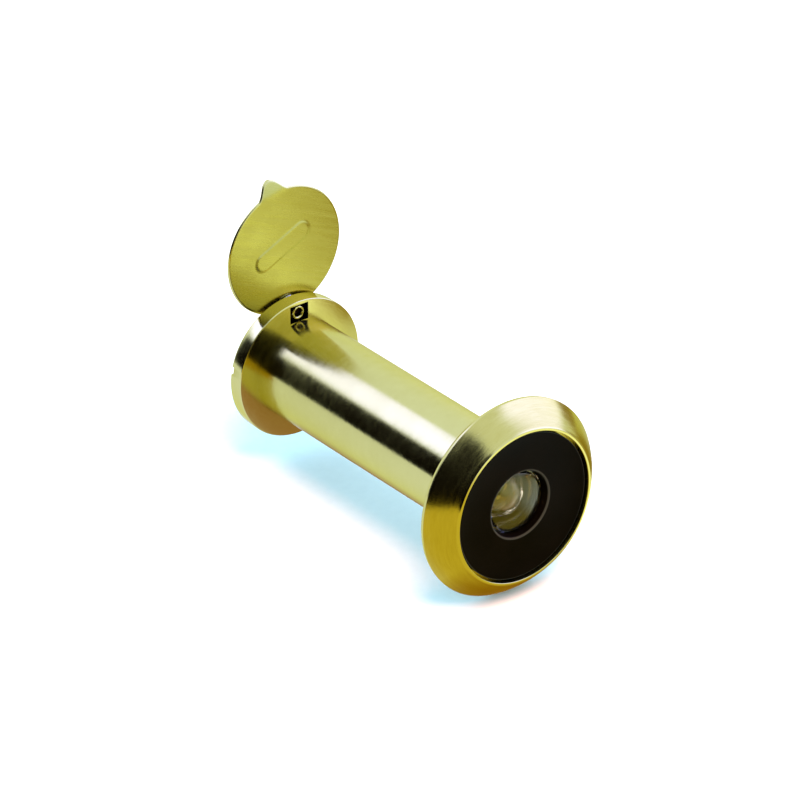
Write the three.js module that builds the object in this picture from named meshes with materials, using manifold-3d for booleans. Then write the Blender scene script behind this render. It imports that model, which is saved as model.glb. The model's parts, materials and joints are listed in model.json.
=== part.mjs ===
// A brass door viewer. A smooth rear sleeve with a flange carries the eyepiece and a swinging
// cover; a front body with a bezel carries the lens stack and screws into the sleeve, which
// clamps the door between the flange and the bezel.
// Millimetres, +Z up. The optical axis is Y: outdoors is -Y, indoors is +Y. The origin is on
// that axis, in the face of the flange that lies against the door. The cover is open.

import * as THREE from "three";
import { mergeVertices } from "three/addons/utils/BufferGeometryUtils.js";
import Module from "manifold-3d";

const wasm = await Module();
wasm.setup();

// Facets round a full turn: on pieces in sight, on small or hidden pieces, and on the thread.
const FINE = 48;
const COARSE = 28;
const THREAD_STEPS = 16;

// Lengths are in millimetres and turns in degrees.
const CLEARANCE = 0.3; // radial, between pieces that slip together
const SEAT = 0.1; // between faces that bear on each other

// Rear sleeve
const BARREL_R = 7; // for a 14 mm hole
const BORE_R = 6.45;
const FLANGE_R = 10;
const FLANGE_T = 2.2;
const EDGE = 0.2; // broken edges
const SLEEVE_END = -42.5;

// Eyepiece, in the sleeve's rear pocket
const POCKET_R = 5.6;
const POCKET_FLOOR = -2.2;
const BORE_END = -3.4;
const EYE_APERTURE_R = 4.4;
const EYE_GASKET_T = 0.3;
const EYE_LENS_EDGE = 1.5;
const EYE_RING_T = 1.4;
const EYE_RING_R = 3.9; // its opening
const COIN_SLOT = { width: 1.1, depth: 0.5, turn: 11 };
const SPANNER_SLOT = { width: 1.2, depth: 0.5 };

// Cover and its tubular rivet, which stands above the barrel
const PIVOT_Z = 8.25;
const RIVET_R = 0.8;
const RIVET_HOLE_R = RIVET_R + CLEARANCE;
const RIVET_WALL = 0.25; // of its tubular end
const RIVET_TAIL = 0.15; // how far its curled end lies behind the flange's door face
const RIVET_HEAD = { radius: 1.6, edge: 0.2, rise: 0.5 };
const RIVET_POCKET = { width: 3, height: 2.5, depth: 1.1 };
const WASHER = { radius: 1.65, thickness: 0.2 };
const COVER_R = 9.3;
const COVER_DROP = 0.2; // how far its middle lies below the barrel's when it is closed
const LUG_R = 1.75; // of the cover, round the rivet
const COVER_T = 0.4;
const COVER_FRONT = FLANGE_T + WASHER.thickness + 2 * SEAT;
const RIVET_UP = PIVOT_Z + COVER_DROP; // from the cover's middle
const COVER_OPEN = 177.5; // degrees from closed, as it stands here
const TAB = { reach: 10.95, halfWidth: 2.4, tip: 1.15, curl: 0.9, lean: -8.5 };
const PILL = { length: 9.6, width: 2.8, height: 0.12, wall: 0.2, turn: -22.5, drop: 0.8 };

// Thread between the front body and the sleeve
const PITCH = 1.5;
const MALE = { root: 5.3, crest: 6, foot: 0.85, top: 0.35, from: -40.9, turns: 15 };
// The tap that cuts the sleeve's thread: its turns fall on the body's and are wider, and they
// start before the sleeve's end, so that the body's thread can leave by it.
const TAP = { root: 5.7, crest: 6.3, foot: 1.15, top: 0.65, from: MALE.from - 2 * PITCH, turns: 9 };
const SHANK_R = 6.1; // the plain neck between bezel and thread
const SHANK_END = MALE.from - PITCH / 2;

// Front body
const BEZEL_BACK = -43.5;
const BEZEL_R = 14;
const RELIEF = { radius: 7.6, depth: 0.4 }; // round the neck, clear of the sleeve's end
const LIP = { y: -47.7, inner: 10.7, outer: 11.05, edge: 0.08 };
const RIM_FRONT = -44.25; // where the bezel's sloping face starts
const BULGE = 0.25; // how far that face swells beyond a straight cone
const DISH_FLOOR = -46;
const LENS_BORE_R = 5.3;
const LENS_SHOULDER = -42.2;
const STACK_BORE_R = 4.4;
const STACK_SHOULDER = -33.8;
const TUBE_BORE_R = 3.7;
const TUBE_END = -17.2;

// Dish and lenses
const DISH = { edge: -47.25, mouth: -46.8, mouthR: 4.75, throatR: 4.5, back: -45.4 };
const OBJECTIVE = { front: -45.3, nose: -46, noseR: 4.2, rear: -42.6, aperture: 3.4 };
const STACK_LENS_T = 2;
const STACK_GAP_T = 1.3; // length of the spacers

const BRASS = { color: 0xc2a84b, roughness: 0.34, metalness: 1 };
const SHEET_BRASS = { color: 0xb9ac45, roughness: 0.4, metalness: 1 };
const BLACK = { color: 0x14120f, roughness: 0.42, metalness: 0 };
const GLASS = { color: 0xc9d3c4, roughness: 0.05, metalness: 0 };
const SPRING_STEEL = { color: 0x9a9a94, roughness: 0.35, metalness: 1 };
const RUBBER = { color: 0x1d1b19, roughness: 0.9, metalness: 0 };

// ---------------------------------------------------------------- solids

function solidOf(geometry) {
  const bare = geometry.clone();
  bare.deleteAttribute("normal");
  bare.deleteAttribute("uv");
  const merged = mergeVertices(bare, 1e-4);
  return new wasm.Manifold(
    new wasm.Mesh({
      numProp: 3,
      vertProperties: merged.attributes.position.array,
      triVerts: new Uint32Array(merged.index.array),
    }),
  );
}

function geometryOf(solid) {
  const mesh = solid.getMesh();
  const geometry = new THREE.BufferGeometry();
  const positions = [];
  for (let i = 0; i < mesh.numVert; i += 1) {
    positions.push(...mesh.vertProperties.subarray(i * mesh.numProp, i * mesh.numProp + 3));
  }
  geometry.setAttribute("position", new THREE.Float32BufferAttribute(positions, 3));
  geometry.setIndex([...mesh.triVerts]);
  geometry.computeVertexNormals();
  return geometry;
}

// Turns [radius, y] points about the Y axis. They run from -Y to +Y along the outside; the
// outline of a ring comes back along its bore, and that of a solid piece starts and ends
// on the axis.
function turned(points, facets = FINE) {
  const outline = points.map(([r, y]) => new THREE.Vector2(r, y));
  if (points[0][0] > 0) {
    outline.push(outline[0].clone());
  }
  return solidOf(new THREE.LatheGeometry(outline, facets));
}

function cylinder(radius, from, to, facets = FINE) {
  return turned([[0, from], [radius, from], [radius, to], [0, to]], facets);
}

function box(width, depth, height, x, y, z) {
  return solidOf(new THREE.BoxGeometry(width, depth, height).translate(x, y, z));
}

// A spherical surface, as points from the axis out to `radius`, where its height is `edge`.
// `rise` is how far its middle stands beyond that edge, along +Y.
function dome(radius, edge, rise, steps = 5) {
  const sphere = (radius ** 2 + rise ** 2) / (2 * Math.abs(rise));
  return Array.from({ length: steps + 1 }, (_, i) => {
    const r = (radius * i) / steps;
    const drop = sphere - Math.sqrt(sphere ** 2 - r ** 2);
    return [r, edge + rise - Math.sign(rise) * drop];
  });
}

// Points along a smooth bend from a to b, pulled towards the corner.
function bend(a, corner, b, steps) {
  const [from, pull, to] = [a, corner, b].map(([x, y]) => new THREE.Vector2(x, y));
  return new THREE.QuadraticBezierCurve(from, pull, to).getPoints(steps).map((p) => [p.x, p.y]);
}

// A flat washer or spacer about the Y axis.
function ring(outer, inner, from, to, facets = COARSE) {
  return turned([[outer, from], [outer, to], [inner, to], [inner, from]], facets);
}

// A rod about the Y axis with a right-handed thread. The thread's section is a trapezium,
// `foot` wide where it leaves the rod at radius `root` and `top` wide at radius `crest`.
// Its middle starts at `from`, straight above the axis, and ends as it began after `turns`.
function threadedRod({ root, crest, foot, top, from, turns, bottom, end }) {
  const count = turns * THREAD_STEPS;
  const positions = [];
  const faces = [];
  function point(step, radius, y) {
    const angle = (2 * Math.PI * step) / THREAD_STEPS;
    positions.push(radius * Math.sin(angle), y, radius * Math.cos(angle));
    return positions.length / 3 - 1;
  }
  function face(first, ...rest) {
    for (let i = 1; i < rest.length; i += 1) {
      faces.push(first, rest[i - 1], rest[i]);
    }
  }
  function circle(y) {
    return Array.from({ length: THREAD_STEPS }, (_, i) => point(i, root, y));
  }

  const low = circle(bottom);
  const high = circle(end);
  const lowCentre = point(0, 0, bottom);
  const highCentre = point(0, 0, end);
  const rows = Array.from({ length: count + 1 }, (_, i) => {
    const y = from + (PITCH * i) / THREAD_STEPS;
    return [
      point(i, root, y - foot / 2),
      point(i, crest, y - top / 2),
      point(i, crest, y + top / 2),
      point(i, root, y + foot / 2),
    ];
  });

  // The two flanks and the crest, and the rod's wall above them.
  for (let i = 0; i < count; i += 1) {
    const [here, next] = [rows[i], rows[i + 1]];
    for (let side = 0; side < 3; side += 1) {
      face(here[side], next[side], next[side + 1], here[side + 1]);
    }
    const [above, beyond] = [high[i % THREAD_STEPS], high[(i + 1) % THREAD_STEPS]];
    if (i < count - THREAD_STEPS) {
      face(here[3], next[3], rows[i + 1 + THREAD_STEPS][0], rows[i + THREAD_STEPS][0]);
    } else if (i === count - THREAD_STEPS) {
      face(next[3], beyond, above, rows[count][3], rows[count][0], here[3]);
    } else {
      face(here[3], next[3], beyond, above);
    }
  }

  // The rod's wall below the first turn, and both ends of the thread and of the rod.
  for (let i = 0; i < THREAD_STEPS - 1; i += 1) {
    face(low[i], low[i + 1], rows[i + 1][0], rows[i][0]);
  }
  const back = THREAD_STEPS - 1;
  face(low[back], low[0], rows[0][0], rows[0][3], rows[THREAD_STEPS][0], rows[back][0]);
  face(...rows[0]);
  face(...rows[count].toReversed());
  face(lowCentre, ...low.toReversed(), low[back]);
  face(highCentre, ...high, high[0]);

  const geometry = new THREE.BufferGeometry();
  geometry.setAttribute("position", new THREE.Float32BufferAttribute(positions, 3));
  geometry.setIndex(faces);
  return solidOf(geometry);
}

// ---------------------------------------------------------------- rear sleeve

// Two notches in the flange's rear face, for a coin that holds the sleeve while the bezel turns.
function coinSlots() {
  const { width, depth, turn } = COIN_SLOT;
  const slot = box(2 * FLANGE_R + 2, 2 * depth, width, 0, 0, 0);
  return slot.rotate([0, turn, 0]).translate([0, FLANGE_T, 0]);
}

function rearSleeve() {
  const body = turned([
    [0, SLEEVE_END],
    [BARREL_R - EDGE, SLEEVE_END],
    [BARREL_R, SLEEVE_END + EDGE],
    [BARREL_R, 0],
    [FLANGE_R - EDGE, 0],
    [FLANGE_R, EDGE],
    [FLANGE_R, FLANGE_T - EDGE],
    [FLANGE_R - EDGE, FLANGE_T],
    [0, FLANGE_T],
  ]);
  const tapEnd = TAP.from + (TAP.turns - 1) * PITCH;
  const tap = threadedRod({ ...TAP, bottom: TAP.from - PITCH, end: tapEnd + 2 * PITCH });
  const mouth = cylinder(BORE_R, SLEEVE_END - 1, SHANK_END + 0.4);
  const bore = turned([
    [0, tapEnd],
    [BORE_R, tapEnd],
    [BORE_R, BORE_END],
    [EYE_APERTURE_R, BORE_END],
    [EYE_APERTURE_R, POCKET_FLOOR],
    [POCKET_R, POCKET_FLOOR],
    [POCKET_R, FLANGE_T - EDGE],
    [POCKET_R + 2 * EDGE, FLANGE_T + EDGE],
    [0, FLANGE_T + EDGE],
  ]);
  const { width, height, depth } = RIVET_POCKET;
  const pocket = box(width, 2 * depth, height, 0, 0, PIVOT_Z);
  const hole = cylinder(RIVET_HOLE_R, 0, 2 * FLANGE_T, COARSE).translate([0, 0, PIVOT_Z]);
  const cuts = [tap, mouth, bore, pocket, hole, coinSlots()];
  return cuts.reduce((solid, cut) => solid.subtract(cut), body);
}

function eyepieceGasket() {
  const from = POCKET_FLOOR + SEAT;
  return ring(POCKET_R - CLEARANCE, EYE_APERTURE_R, from, from + EYE_GASKET_T);
}

function eyepieceLens() {
  const radius = POCKET_R - CLEARANCE;
  const front = POCKET_FLOOR + EYE_GASKET_T + 2 * SEAT;
  const rear = front + EYE_LENS_EDGE;
  const frontFace = [...dome(EYE_APERTURE_R, front, -0.5), [radius, front]];
  const rearFace = [[radius, rear], ...dome(EYE_RING_R + 0.2, rear, 0.9).reverse()];
  return turned([...frontFace, ...rearFace], COARSE);
}

// A threaded ring with two notches for a pin spanner.
function eyepieceRing() {
  const radius = POCKET_R - CLEARANCE;
  const top = FLANGE_T - EDGE;
  const from = top - EYE_RING_T;
  const body = turned([
    [radius, from],
    [radius, top - EDGE],
    [radius - EDGE, top],
    [EYE_RING_R + 0.5, top],
    [EYE_RING_R, top - 0.5],
    [EYE_RING_R, from],
  ]);
  const { width, depth } = SPANNER_SLOT;
  return body.subtract(box(2 * POCKET_R, 2 * depth, width, 0, top, 0));
}

// ---------------------------------------------------------------- cover

// A tubular rivet: a domed head behind the cover, and a curled hollow end in front.
function coverRivet() {
  const head = COVER_FRONT + COVER_T + SEAT;
  const bore = RIVET_R - RIVET_WALL;
  const curl = RIVET_R + RIVET_WALL;
  const { radius, edge, rise } = RIVET_HEAD;
  const body = turned([
    [0, RIVET_POCKET.depth],
    [bore, RIVET_POCKET.depth],
    [bore, RIVET_TAIL + 0.2],
    [bore + 0.1, RIVET_TAIL],
    [curl - 0.1, RIVET_TAIL],
    [curl, RIVET_TAIL + 0.2],
    [RIVET_R, RIVET_TAIL + 0.6],
    [RIVET_R, head],
    [radius, head],
    ...dome(radius, head + edge, rise, 3).reverse(),
  ], COARSE);
  return body.translate([0, 0, PIVOT_Z]);
}

function coverWasher() {
  const from = FLANGE_T + SEAT;
  const washer = ring(WASHER.radius, RIVET_HOLE_R, from, from + WASHER.thickness);
  return washer.translate([0, 0, PIVOT_Z]);
}

// An XY outline as a plate that stands in the XZ plane, with its +Y pointing down and its
// thickness along the model's +Y.
function standingPlate(shape, thickness) {
  const plate = new THREE.ExtrudeGeometry(shape, { depth: thickness, bevelEnabled: false });
  return solidOf(plate.rotateX(-Math.PI / 2));
}

// The pill-shaped mark on the cover, a little nearer to the tab than to the rivet.
function pill(length, width, thickness) {
  const reach = (length - width) / 2;
  const shape = new THREE.Shape();
  shape.absarc(reach, 0, width / 2, -Math.PI / 2, Math.PI / 2);
  shape.absarc(-reach, 0, width / 2, Math.PI / 2, (3 * Math.PI) / 2);
  return standingPlate(shape, thickness).translate([0, 0, -PILL.drop]).rotate([0, PILL.turn, 0]);
}

// The thumb tab's outline, which leaves a disc round the origin in two hollow curves and
// ends in a round tip at the bottom.
function tabOutline() {
  const { reach, halfWidth, tip } = TAB;
  const root = Math.sqrt(COVER_R ** 2 - halfWidth ** 2);
  const overlap = root - 1.5;
  const waist = (root + reach) / 2 - 0.4;
  const shape = new THREE.Shape();
  shape.moveTo(-halfWidth, overlap);
  shape.lineTo(halfWidth, overlap);
  shape.lineTo(halfWidth, root);
  shape.bezierCurveTo(tip + 0.35, waist, tip, reach, 0, reach);
  shape.bezierCurveTo(-tip, reach, -tip - 0.35, waist, -halfWidth, root);
  return shape;
}

// The tab's sheet from the side: it leaves the disc flat and curls away from the door.
function curledStrip() {
  const { reach, halfWidth, curl } = TAB;
  const door = bend([COVER_R - 0.5, 0], [COVER_R + 0.7, 0], [reach + 0.3, curl], 5);
  const room = door.map(([radius, y]) => [radius, y + COVER_T]).reverse();
  const root = COVER_R - 2;
  const outline = [[root, 0], ...door, ...room, [root, COVER_T]];
  const width = 2 * halfWidth + 1;
  const shape = new THREE.Shape(outline.map(([radius, y]) => new THREE.Vector2(radius, y)));
  const strip = new THREE.ExtrudeGeometry(shape, { depth: width, bevelEnabled: false });
  // The outline's first axis comes to point down, along -Z, and its second along +Y.
  return solidOf(strip.translate(0, 0, -width / 2).rotateY(Math.PI / 2));
}

// The cover is made closed, round the origin, with its tab at the bottom. A raised pill
// stands on its door side and is sunk in its room side, and a lug goes round the rivet.
function cover() {
  const { length, width, height, wall } = PILL;
  const lug = cylinder(LUG_R, 0, COVER_T, COARSE).translate([0, 0, RIVET_UP]);
  const disc = cylinder(COVER_R, 0, COVER_T).add(lug);
  const outline = standingPlate(tabOutline(), 4).translate([0, -1, 0]);
  const tab = curledStrip().intersect(outline).rotate([0, TAB.lean, 0]);
  const raised = pill(length, width, COVER_T).translate([0, -height, 0]);
  const sunk = pill(length - wall, width - wall, 1).translate([0, COVER_T - height, 0]);
  const hole = cylinder(RIVET_HOLE_R, -1, COVER_T + 1, COARSE).translate([0, 0, RIVET_UP]);
  return disc.add(tab).add(raised).subtract(sunk).subtract(hole);
}

// ---------------------------------------------------------------- front body

function frontBody() {
  const middle = [(BEZEL_R + LIP.outer) / 2 + BULGE, (RIM_FRONT + LIP.y) / 2 - BULGE];
  const slope = bend([LIP.outer, LIP.y + LIP.edge], middle, [BEZEL_R, RIM_FRONT], 5);
  const backEdge = [BEZEL_R - 0.5, BEZEL_BACK];
  const rim = bend([BEZEL_R, RIM_FRONT], [BEZEL_R, BEZEL_BACK], backEdge, 3).slice(1);
  const bezel = turned([
    [0, DISH_FLOOR],
    [LIP.inner, DISH_FLOOR],
    [LIP.inner, LIP.y + LIP.edge],
    [LIP.inner + LIP.edge, LIP.y],
    [LIP.outer - LIP.edge, LIP.y],
    ...slope,
    ...rim,
    [RELIEF.radius, BEZEL_BACK],
    [RELIEF.radius, BEZEL_BACK - RELIEF.depth],
    [SHANK_R, BEZEL_BACK - RELIEF.depth],
    [SHANK_R, SHANK_END],
    [0, SHANK_END],
  ]);
  const tube = threadedRod({ ...MALE, bottom: SHANK_END - 1, end: TUBE_END });
  const bore = turned([
    [0, DISH_FLOOR - 1],
    [LENS_BORE_R, DISH_FLOOR - 1],
    [LENS_BORE_R, LENS_SHOULDER],
    [STACK_BORE_R, LENS_SHOULDER],
    [STACK_BORE_R, STACK_SHOULDER],
    [TUBE_BORE_R, STACK_SHOULDER],
    [TUBE_BORE_R, TUBE_END + 1],
    [0, TUBE_END + 1],
  ], COARSE);
  return bezel.add(tube).subtract(bore);
}

// The black dish fills the bezel's recess; its hub reaches into the lens bore and holds the
// objective lens on its seat.
function blackDish() {
  const rim = LIP.inner - CLEARANCE;
  const hub = LENS_BORE_R - CLEARANCE;
  return turned([
    [DISH.throatR, DISH.back],
    [DISH.mouthR, DISH.mouth + 0.15],
    [DISH.mouthR + 0.15, DISH.mouth],
    ...bend([6, DISH.mouth - 0.02], [8.5, DISH.mouth - 0.1], [rim - 0.15, DISH.edge], 4),
    [rim, DISH.edge + 0.15],
    [rim, DISH_FLOOR - SEAT],
    [hub, DISH_FLOOR - SEAT],
    [hub, DISH.back],
  ]);
}

// The objective lens: a domed nose stands in the dish's throat, in front of the seated rim.
function objectiveLens() {
  const { front, nose, noseR, rear, aperture } = OBJECTIVE;
  const radius = LENS_BORE_R - CLEARANCE;
  const frontFace = [...dome(noseR, nose, -0.6), [noseR, front], [radius, front]];
  const rearFace = [[radius, rear], ...dome(aperture, rear, -1.4).reverse()];
  return turned([...frontFace, ...rearFace], COARSE);
}

function objectiveGasket() {
  const to = LENS_SHOULDER - SEAT;
  return ring(LENS_BORE_R - CLEARANCE, STACK_BORE_R + 0.1, OBJECTIVE.rear + SEAT, to);
}

// Two lenses and two spacers fill the stack bore from the objective back to the field stop.
const STACK_R = STACK_BORE_R - CLEARANCE;
const STACK_FROM = OBJECTIVE.rear + SEAT;
const SECOND_FROM = STACK_FROM + STACK_GAP_T + SEAT;
const SPACER_FROM = SECOND_FROM + STACK_LENS_T + SEAT;
const THIRD_FROM = SPACER_FROM + STACK_GAP_T + SEAT;
const STOP_FROM = THIRD_FROM + STACK_LENS_T + SEAT;

function frontSpacer() {
  return ring(STACK_R, STACK_R - 0.6, STACK_FROM, STACK_FROM + STACK_GAP_T);
}

// Hollow on both faces.
function secondLens() {
  const to = SECOND_FROM + STACK_LENS_T;
  const frontFace = [...dome(3.3, SECOND_FROM, 0.5), [STACK_R, SECOND_FROM]];
  return turned([...frontFace, [STACK_R, to], ...dome(3.1, to, -0.7).reverse()], COARSE);
}

function middleSpacer() {
  return ring(STACK_R, STACK_R - 0.8, SPACER_FROM, SPACER_FROM + STACK_GAP_T);
}

// Flat in front, hollow behind.
function thirdLens() {
  const to = THIRD_FROM + STACK_LENS_T;
  const frontFace = [[0, THIRD_FROM], [STACK_R, THIRD_FROM]];
  return turned([...frontFace, [STACK_R, to], ...dome(3, to, -0.8).reverse()], COARSE);
}

// A black ring whose bevelled opening cuts off stray light.
function fieldStop() {
  const to = STACK_SHOULDER - SEAT;
  return turned([[STACK_R, STOP_FROM], [STACK_R, to], [2.6, to], [3.2, STOP_FROM]], COARSE);
}

// ---------------------------------------------------------------- assembly

function piece(name, solid, finish) {
  const mesh = new THREE.Mesh(geometryOf(solid), new THREE.MeshStandardMaterial(finish));
  mesh.name = name;
  return mesh;
}

const viewer = new THREE.Group();
viewer.add(
  piece("rear_sleeve", rearSleeve(), BRASS),
  piece("eyepiece_gasket", eyepieceGasket(), RUBBER),
  piece("eyepiece_lens", eyepieceLens(), GLASS),
  piece("eyepiece_retaining_ring", eyepieceRing(), BRASS),
  piece("cover_rivet", coverRivet(), BRASS),
  piece("cover_spring_washer", coverWasher(), SPRING_STEEL),
  piece("front_body", frontBody(), BRASS),
  piece("black_dish", blackDish(), BLACK),
  piece("objective_lens", objectiveLens(), GLASS),
  piece("objective_gasket", objectiveGasket(), RUBBER),
  piece("front_spacer", frontSpacer(), BLACK),
  piece("second_lens", secondLens(), GLASS),
  piece("middle_spacer", middleSpacer(), BLACK),
  piece("third_lens", thirdLens(), GLASS),
  piece("field_stop", fieldStop(), BLACK),
);

// The cover turns about the rivet: the outer group stands on the rivet's axis.
const coverMesh = piece("cover", cover(), SHEET_BRASS);
coverMesh.position.z = -RIVET_UP;
const coverPivot = new THREE.Group();
coverPivot.position.set(0, COVER_FRONT, PIVOT_Z);
coverPivot.rotation.y = THREE.MathUtils.degToRad(COVER_OPEN);
coverPivot.add(coverMesh);
viewer.add(coverPivot);

export default viewer;
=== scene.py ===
# A brass door viewer: a smooth sleeve with a flange, an eyepiece and a swinging cover, and a
# threaded front body with a bezel, a black dish and a stack of lenses.
# Lengths are in millimetres until a mesh is made. The optical axis is Y, and outdoors is -Y.
# Closed means that the cover lies over the eyepiece; at rest it stands open.

import json
from math import asin, atan2, cos, degrees, hypot, pi, radians, sin, sqrt

import bmesh
import bpy
from mathutils import Matrix, Vector

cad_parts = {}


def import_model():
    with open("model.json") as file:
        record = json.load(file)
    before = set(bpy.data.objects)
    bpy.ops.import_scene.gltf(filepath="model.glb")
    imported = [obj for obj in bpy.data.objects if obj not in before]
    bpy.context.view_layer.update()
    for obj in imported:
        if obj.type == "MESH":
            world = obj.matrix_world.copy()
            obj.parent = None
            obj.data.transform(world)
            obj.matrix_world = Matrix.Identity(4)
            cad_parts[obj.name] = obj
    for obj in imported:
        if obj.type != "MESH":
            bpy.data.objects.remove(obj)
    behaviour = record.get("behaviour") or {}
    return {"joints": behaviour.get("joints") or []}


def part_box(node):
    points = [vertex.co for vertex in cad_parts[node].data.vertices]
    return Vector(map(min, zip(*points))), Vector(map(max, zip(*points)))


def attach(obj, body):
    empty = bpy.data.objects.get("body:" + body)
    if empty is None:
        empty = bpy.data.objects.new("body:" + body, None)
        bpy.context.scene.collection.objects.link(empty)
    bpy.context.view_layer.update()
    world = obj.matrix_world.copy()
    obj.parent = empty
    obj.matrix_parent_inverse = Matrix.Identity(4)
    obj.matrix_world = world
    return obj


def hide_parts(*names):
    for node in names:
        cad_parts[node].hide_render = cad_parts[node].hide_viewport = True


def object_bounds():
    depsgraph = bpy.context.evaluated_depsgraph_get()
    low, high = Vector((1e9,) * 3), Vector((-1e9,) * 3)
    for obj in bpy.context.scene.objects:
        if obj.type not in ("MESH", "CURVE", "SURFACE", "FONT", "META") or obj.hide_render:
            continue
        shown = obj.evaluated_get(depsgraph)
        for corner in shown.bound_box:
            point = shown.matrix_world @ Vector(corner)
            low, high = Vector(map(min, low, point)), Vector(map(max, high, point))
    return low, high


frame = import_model()
cad_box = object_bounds()

MM = 0.001
AROUND = 224  # facets round the turned pieces in sight
LENS_AROUND = 128  # round the lenses
AROUND_SMALL = 96  # and round the small or hidden pieces

# ---------------------------------------------------------------- sizes


def extents(node):
    """The lowest and highest corners of a CAD node, in millimetres."""
    low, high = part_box(node)
    return low / MM, high / MM


sleeve_low, sleeve_high = extents("rear_sleeve")
body_low, body_high = extents("front_body")
dish_low, dish_high = extents("black_dish")
ring_low, ring_high = extents("eyepiece_retaining_ring")
eye_low, eye_high = extents("eyepiece_lens")

swing = next(joint for joint in frame["joints"] if joint["name"] == "cover_swing")
PIVOT = Vector(swing["pos_m"]) / MM
COVER_OPEN = -swing["range_deg"][0]  # degrees from closed to the rest pose

EDGE = 0.2  # of the barrel's and the pocket's broken edges
CLEARANCE = 0.3  # between a piece and the bore or hole that holds it
SEAT = 0.1  # between a piece and the face that it is clamped on

# Rear sleeve
BARREL_R = 7
BORE_R = 6.45
FLANGE_R = sleeve_high.x
FLANGE_T = sleeve_high.y
SLEEVE_END = sleeve_low.y
POCKET_R = ring_high.x + CLEARANCE
POCKET_FLOOR = -2.2
BORE_END = -3.4
EYE_APERTURE_R = 4.4
EYE_RING_R = 3.9
EYEPIECE = {"seat": 0.5, "thickness": 1.5, "front_rise": -0.5, "rear_rise": 0.9}
COIN_SLOT = {"width": 1.1, "depth": 0.5, "turn": 11}
SPANNER_SLOT = {"width": 1.2, "depth": 0.5}

# Cover and rivet
RIVET_R = 0.8
RIVET_HOLE_R = RIVET_R + CLEARANCE
RIVET_WALL = 0.17
RIVET_LIP_R = 0.98
RIVET_TAIL = extents("cover_rivet")[0].y
RIVET_HEAD = {"radius": 1.6, "edge": 0.2, "rise": 0.5}
RIVET_SPLITS = {"turns": (25, 145, 265), "length": 0.8, "depth": 0.36, "width": 0.1, "out": 0.9}
RIVET_POCKET = {"width": 3, "height": 2.5, "depth": 1.1}
COVER_R = 9.3
COVER_T = 0.4
COVER_STEP = 0.12  # between the rows of its mesh
COVER_AROUND = 384
LUG_R = 1.75
RIVET_UP = PIVOT.z + 0.2
TAB = {"reach": 10.95, "half_width": 2.4, "tip": 1.15, "curl": 0.88, "lean": -8.5}
PILL = {"length": 9.6, "width": 2.8, "height": 0.12, "edge": 0.34, "turn": -22.5, "drop": 0.8}

# Thread. A tooth is `foot` wide at its root and `top` wide at its crest
PITCH = 1.5
MALE = {"root": 5.3, "crest": 6, "foot": 0.85, "top": 0.35, "from": -40.9, "turns": 15}
TAP = {"root": 5.7, "crest": 6.3, "foot": 1.15, "top": 0.65, "end": -31.9, "mouth": -41.25}
SHANK_R = 6.1
SHANK_END = MALE["from"] - PITCH / 2
THREAD_STEP = PITCH / 18

# Front body
BEZEL_BACK = -43.5
BEZEL_R = body_high.x
RELIEF = {"radius": 7.6, "depth": 0.4}
LIP = {"y": body_low.y, "inner": 10.7, "outer": 11.05, "edge": 0.08}
RIM_FRONT = -44.25
BULGE = 0.25
DISH_HUB = 0.6  # how far the dish's hub stands behind its flat back
DISH_FLOOR = dish_high.y - DISH_HUB + SEAT
LENS_BORE_R = 5.3
LENS_SHOULDER = -42.2
STACK_BORE_R = 4.4
STACK_SHOULDER = -33.8
TUBE_BORE_R = 3.7
TUBE_END = body_high.y

# Dish and lenses. A lens's face is (radius, rise), and it rises towards +Y at its middle
DISH = {"edge": dish_low.y, "mouth": -46.8, "mouthR": 4.75, "throatR": 4.5, "back": dish_high.y}
OBJECTIVE = {"seat": -45.3, "nose": -46, "nose_r": 4.2, "nose_rise": -0.6, "rear": (3.4, -1.4)}
SECOND_LENS = {"front": (3.3, 0.5), "rear": (3.1, -0.7)}
THIRD_LENS_REAR = (3, -0.8)
FIELD_STOP = {"front_r": 3.2, "rear_r": 2.6}
FRONT_SPACER_R = 3.5
MIDDLE_SPACER_R = 3.3

# ---------------------------------------------------------------- outlines


def fillet(points, steps=4):
    """Rounds the corners of an outline of (radius, y) or (radius, y, rounding) points, where
    the rounding is how far along each side its arc starts. Gives (radius, y, edge) rows, with
    the edge value 1 on the rounded edges, which brass shows rubbed brighter and black plastic
    shows scuffed and with a painted highlight."""
    rows = []
    last = len(points) - 1
    for i, (r, y, *rounding) in enumerate(points):
        if not rounding or i in (0, last):
            rows.append((r, y, 0.0))
            continue
        corner = Vector((r, y))
        before = (Vector(points[i - 1][:2]) - corner).normalized() * rounding[0]
        after = (Vector(points[i + 1][:2]) - corner).normalized() * rounding[0]
        for step in range(steps + 1):
            t = step / steps
            bent = corner + before * (1 - t) ** 2 + after * t**2
            rows.append((bent.x, bent.y, 1.0))
    return rows


def closed(points, steps=4):
    """The same for a ring's outline, which ends where it starts, on a plain point."""
    return fillet([*points, points[0]], steps)


def dome(radius, edge, rise, steps=14):
    """Points of a spherical face from the axis to its rim at (radius, edge)."""
    sphere = (radius**2 + rise**2) / (2 * abs(rise))
    side = 1 if rise > 0 else -1
    points = []
    for i in range(steps + 1):
        r = radius * i / steps
        points.append((r, edge + rise - side * (sphere - sqrt(sphere**2 - r**2))))
    return points


def bevelled(radius, front, rear, bevel=0.08):
    """Points round a lens's edge."""
    front_edge = [(radius - bevel, front), (radius, front + bevel)]
    return [*front_edge, (radius, rear - bevel), (radius - bevel, rear)]


def bend(a, pull, b, steps):
    """Points along a quadratic curve from a to b."""
    points = []
    for i in range(steps + 1):
        t = i / steps
        x, y = (a[k] * (1 - t) ** 2 + 2 * pull[k] * t * (1 - t) + b[k] * t**2 for k in (0, 1))
        points.append((x, y))
    return points


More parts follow.
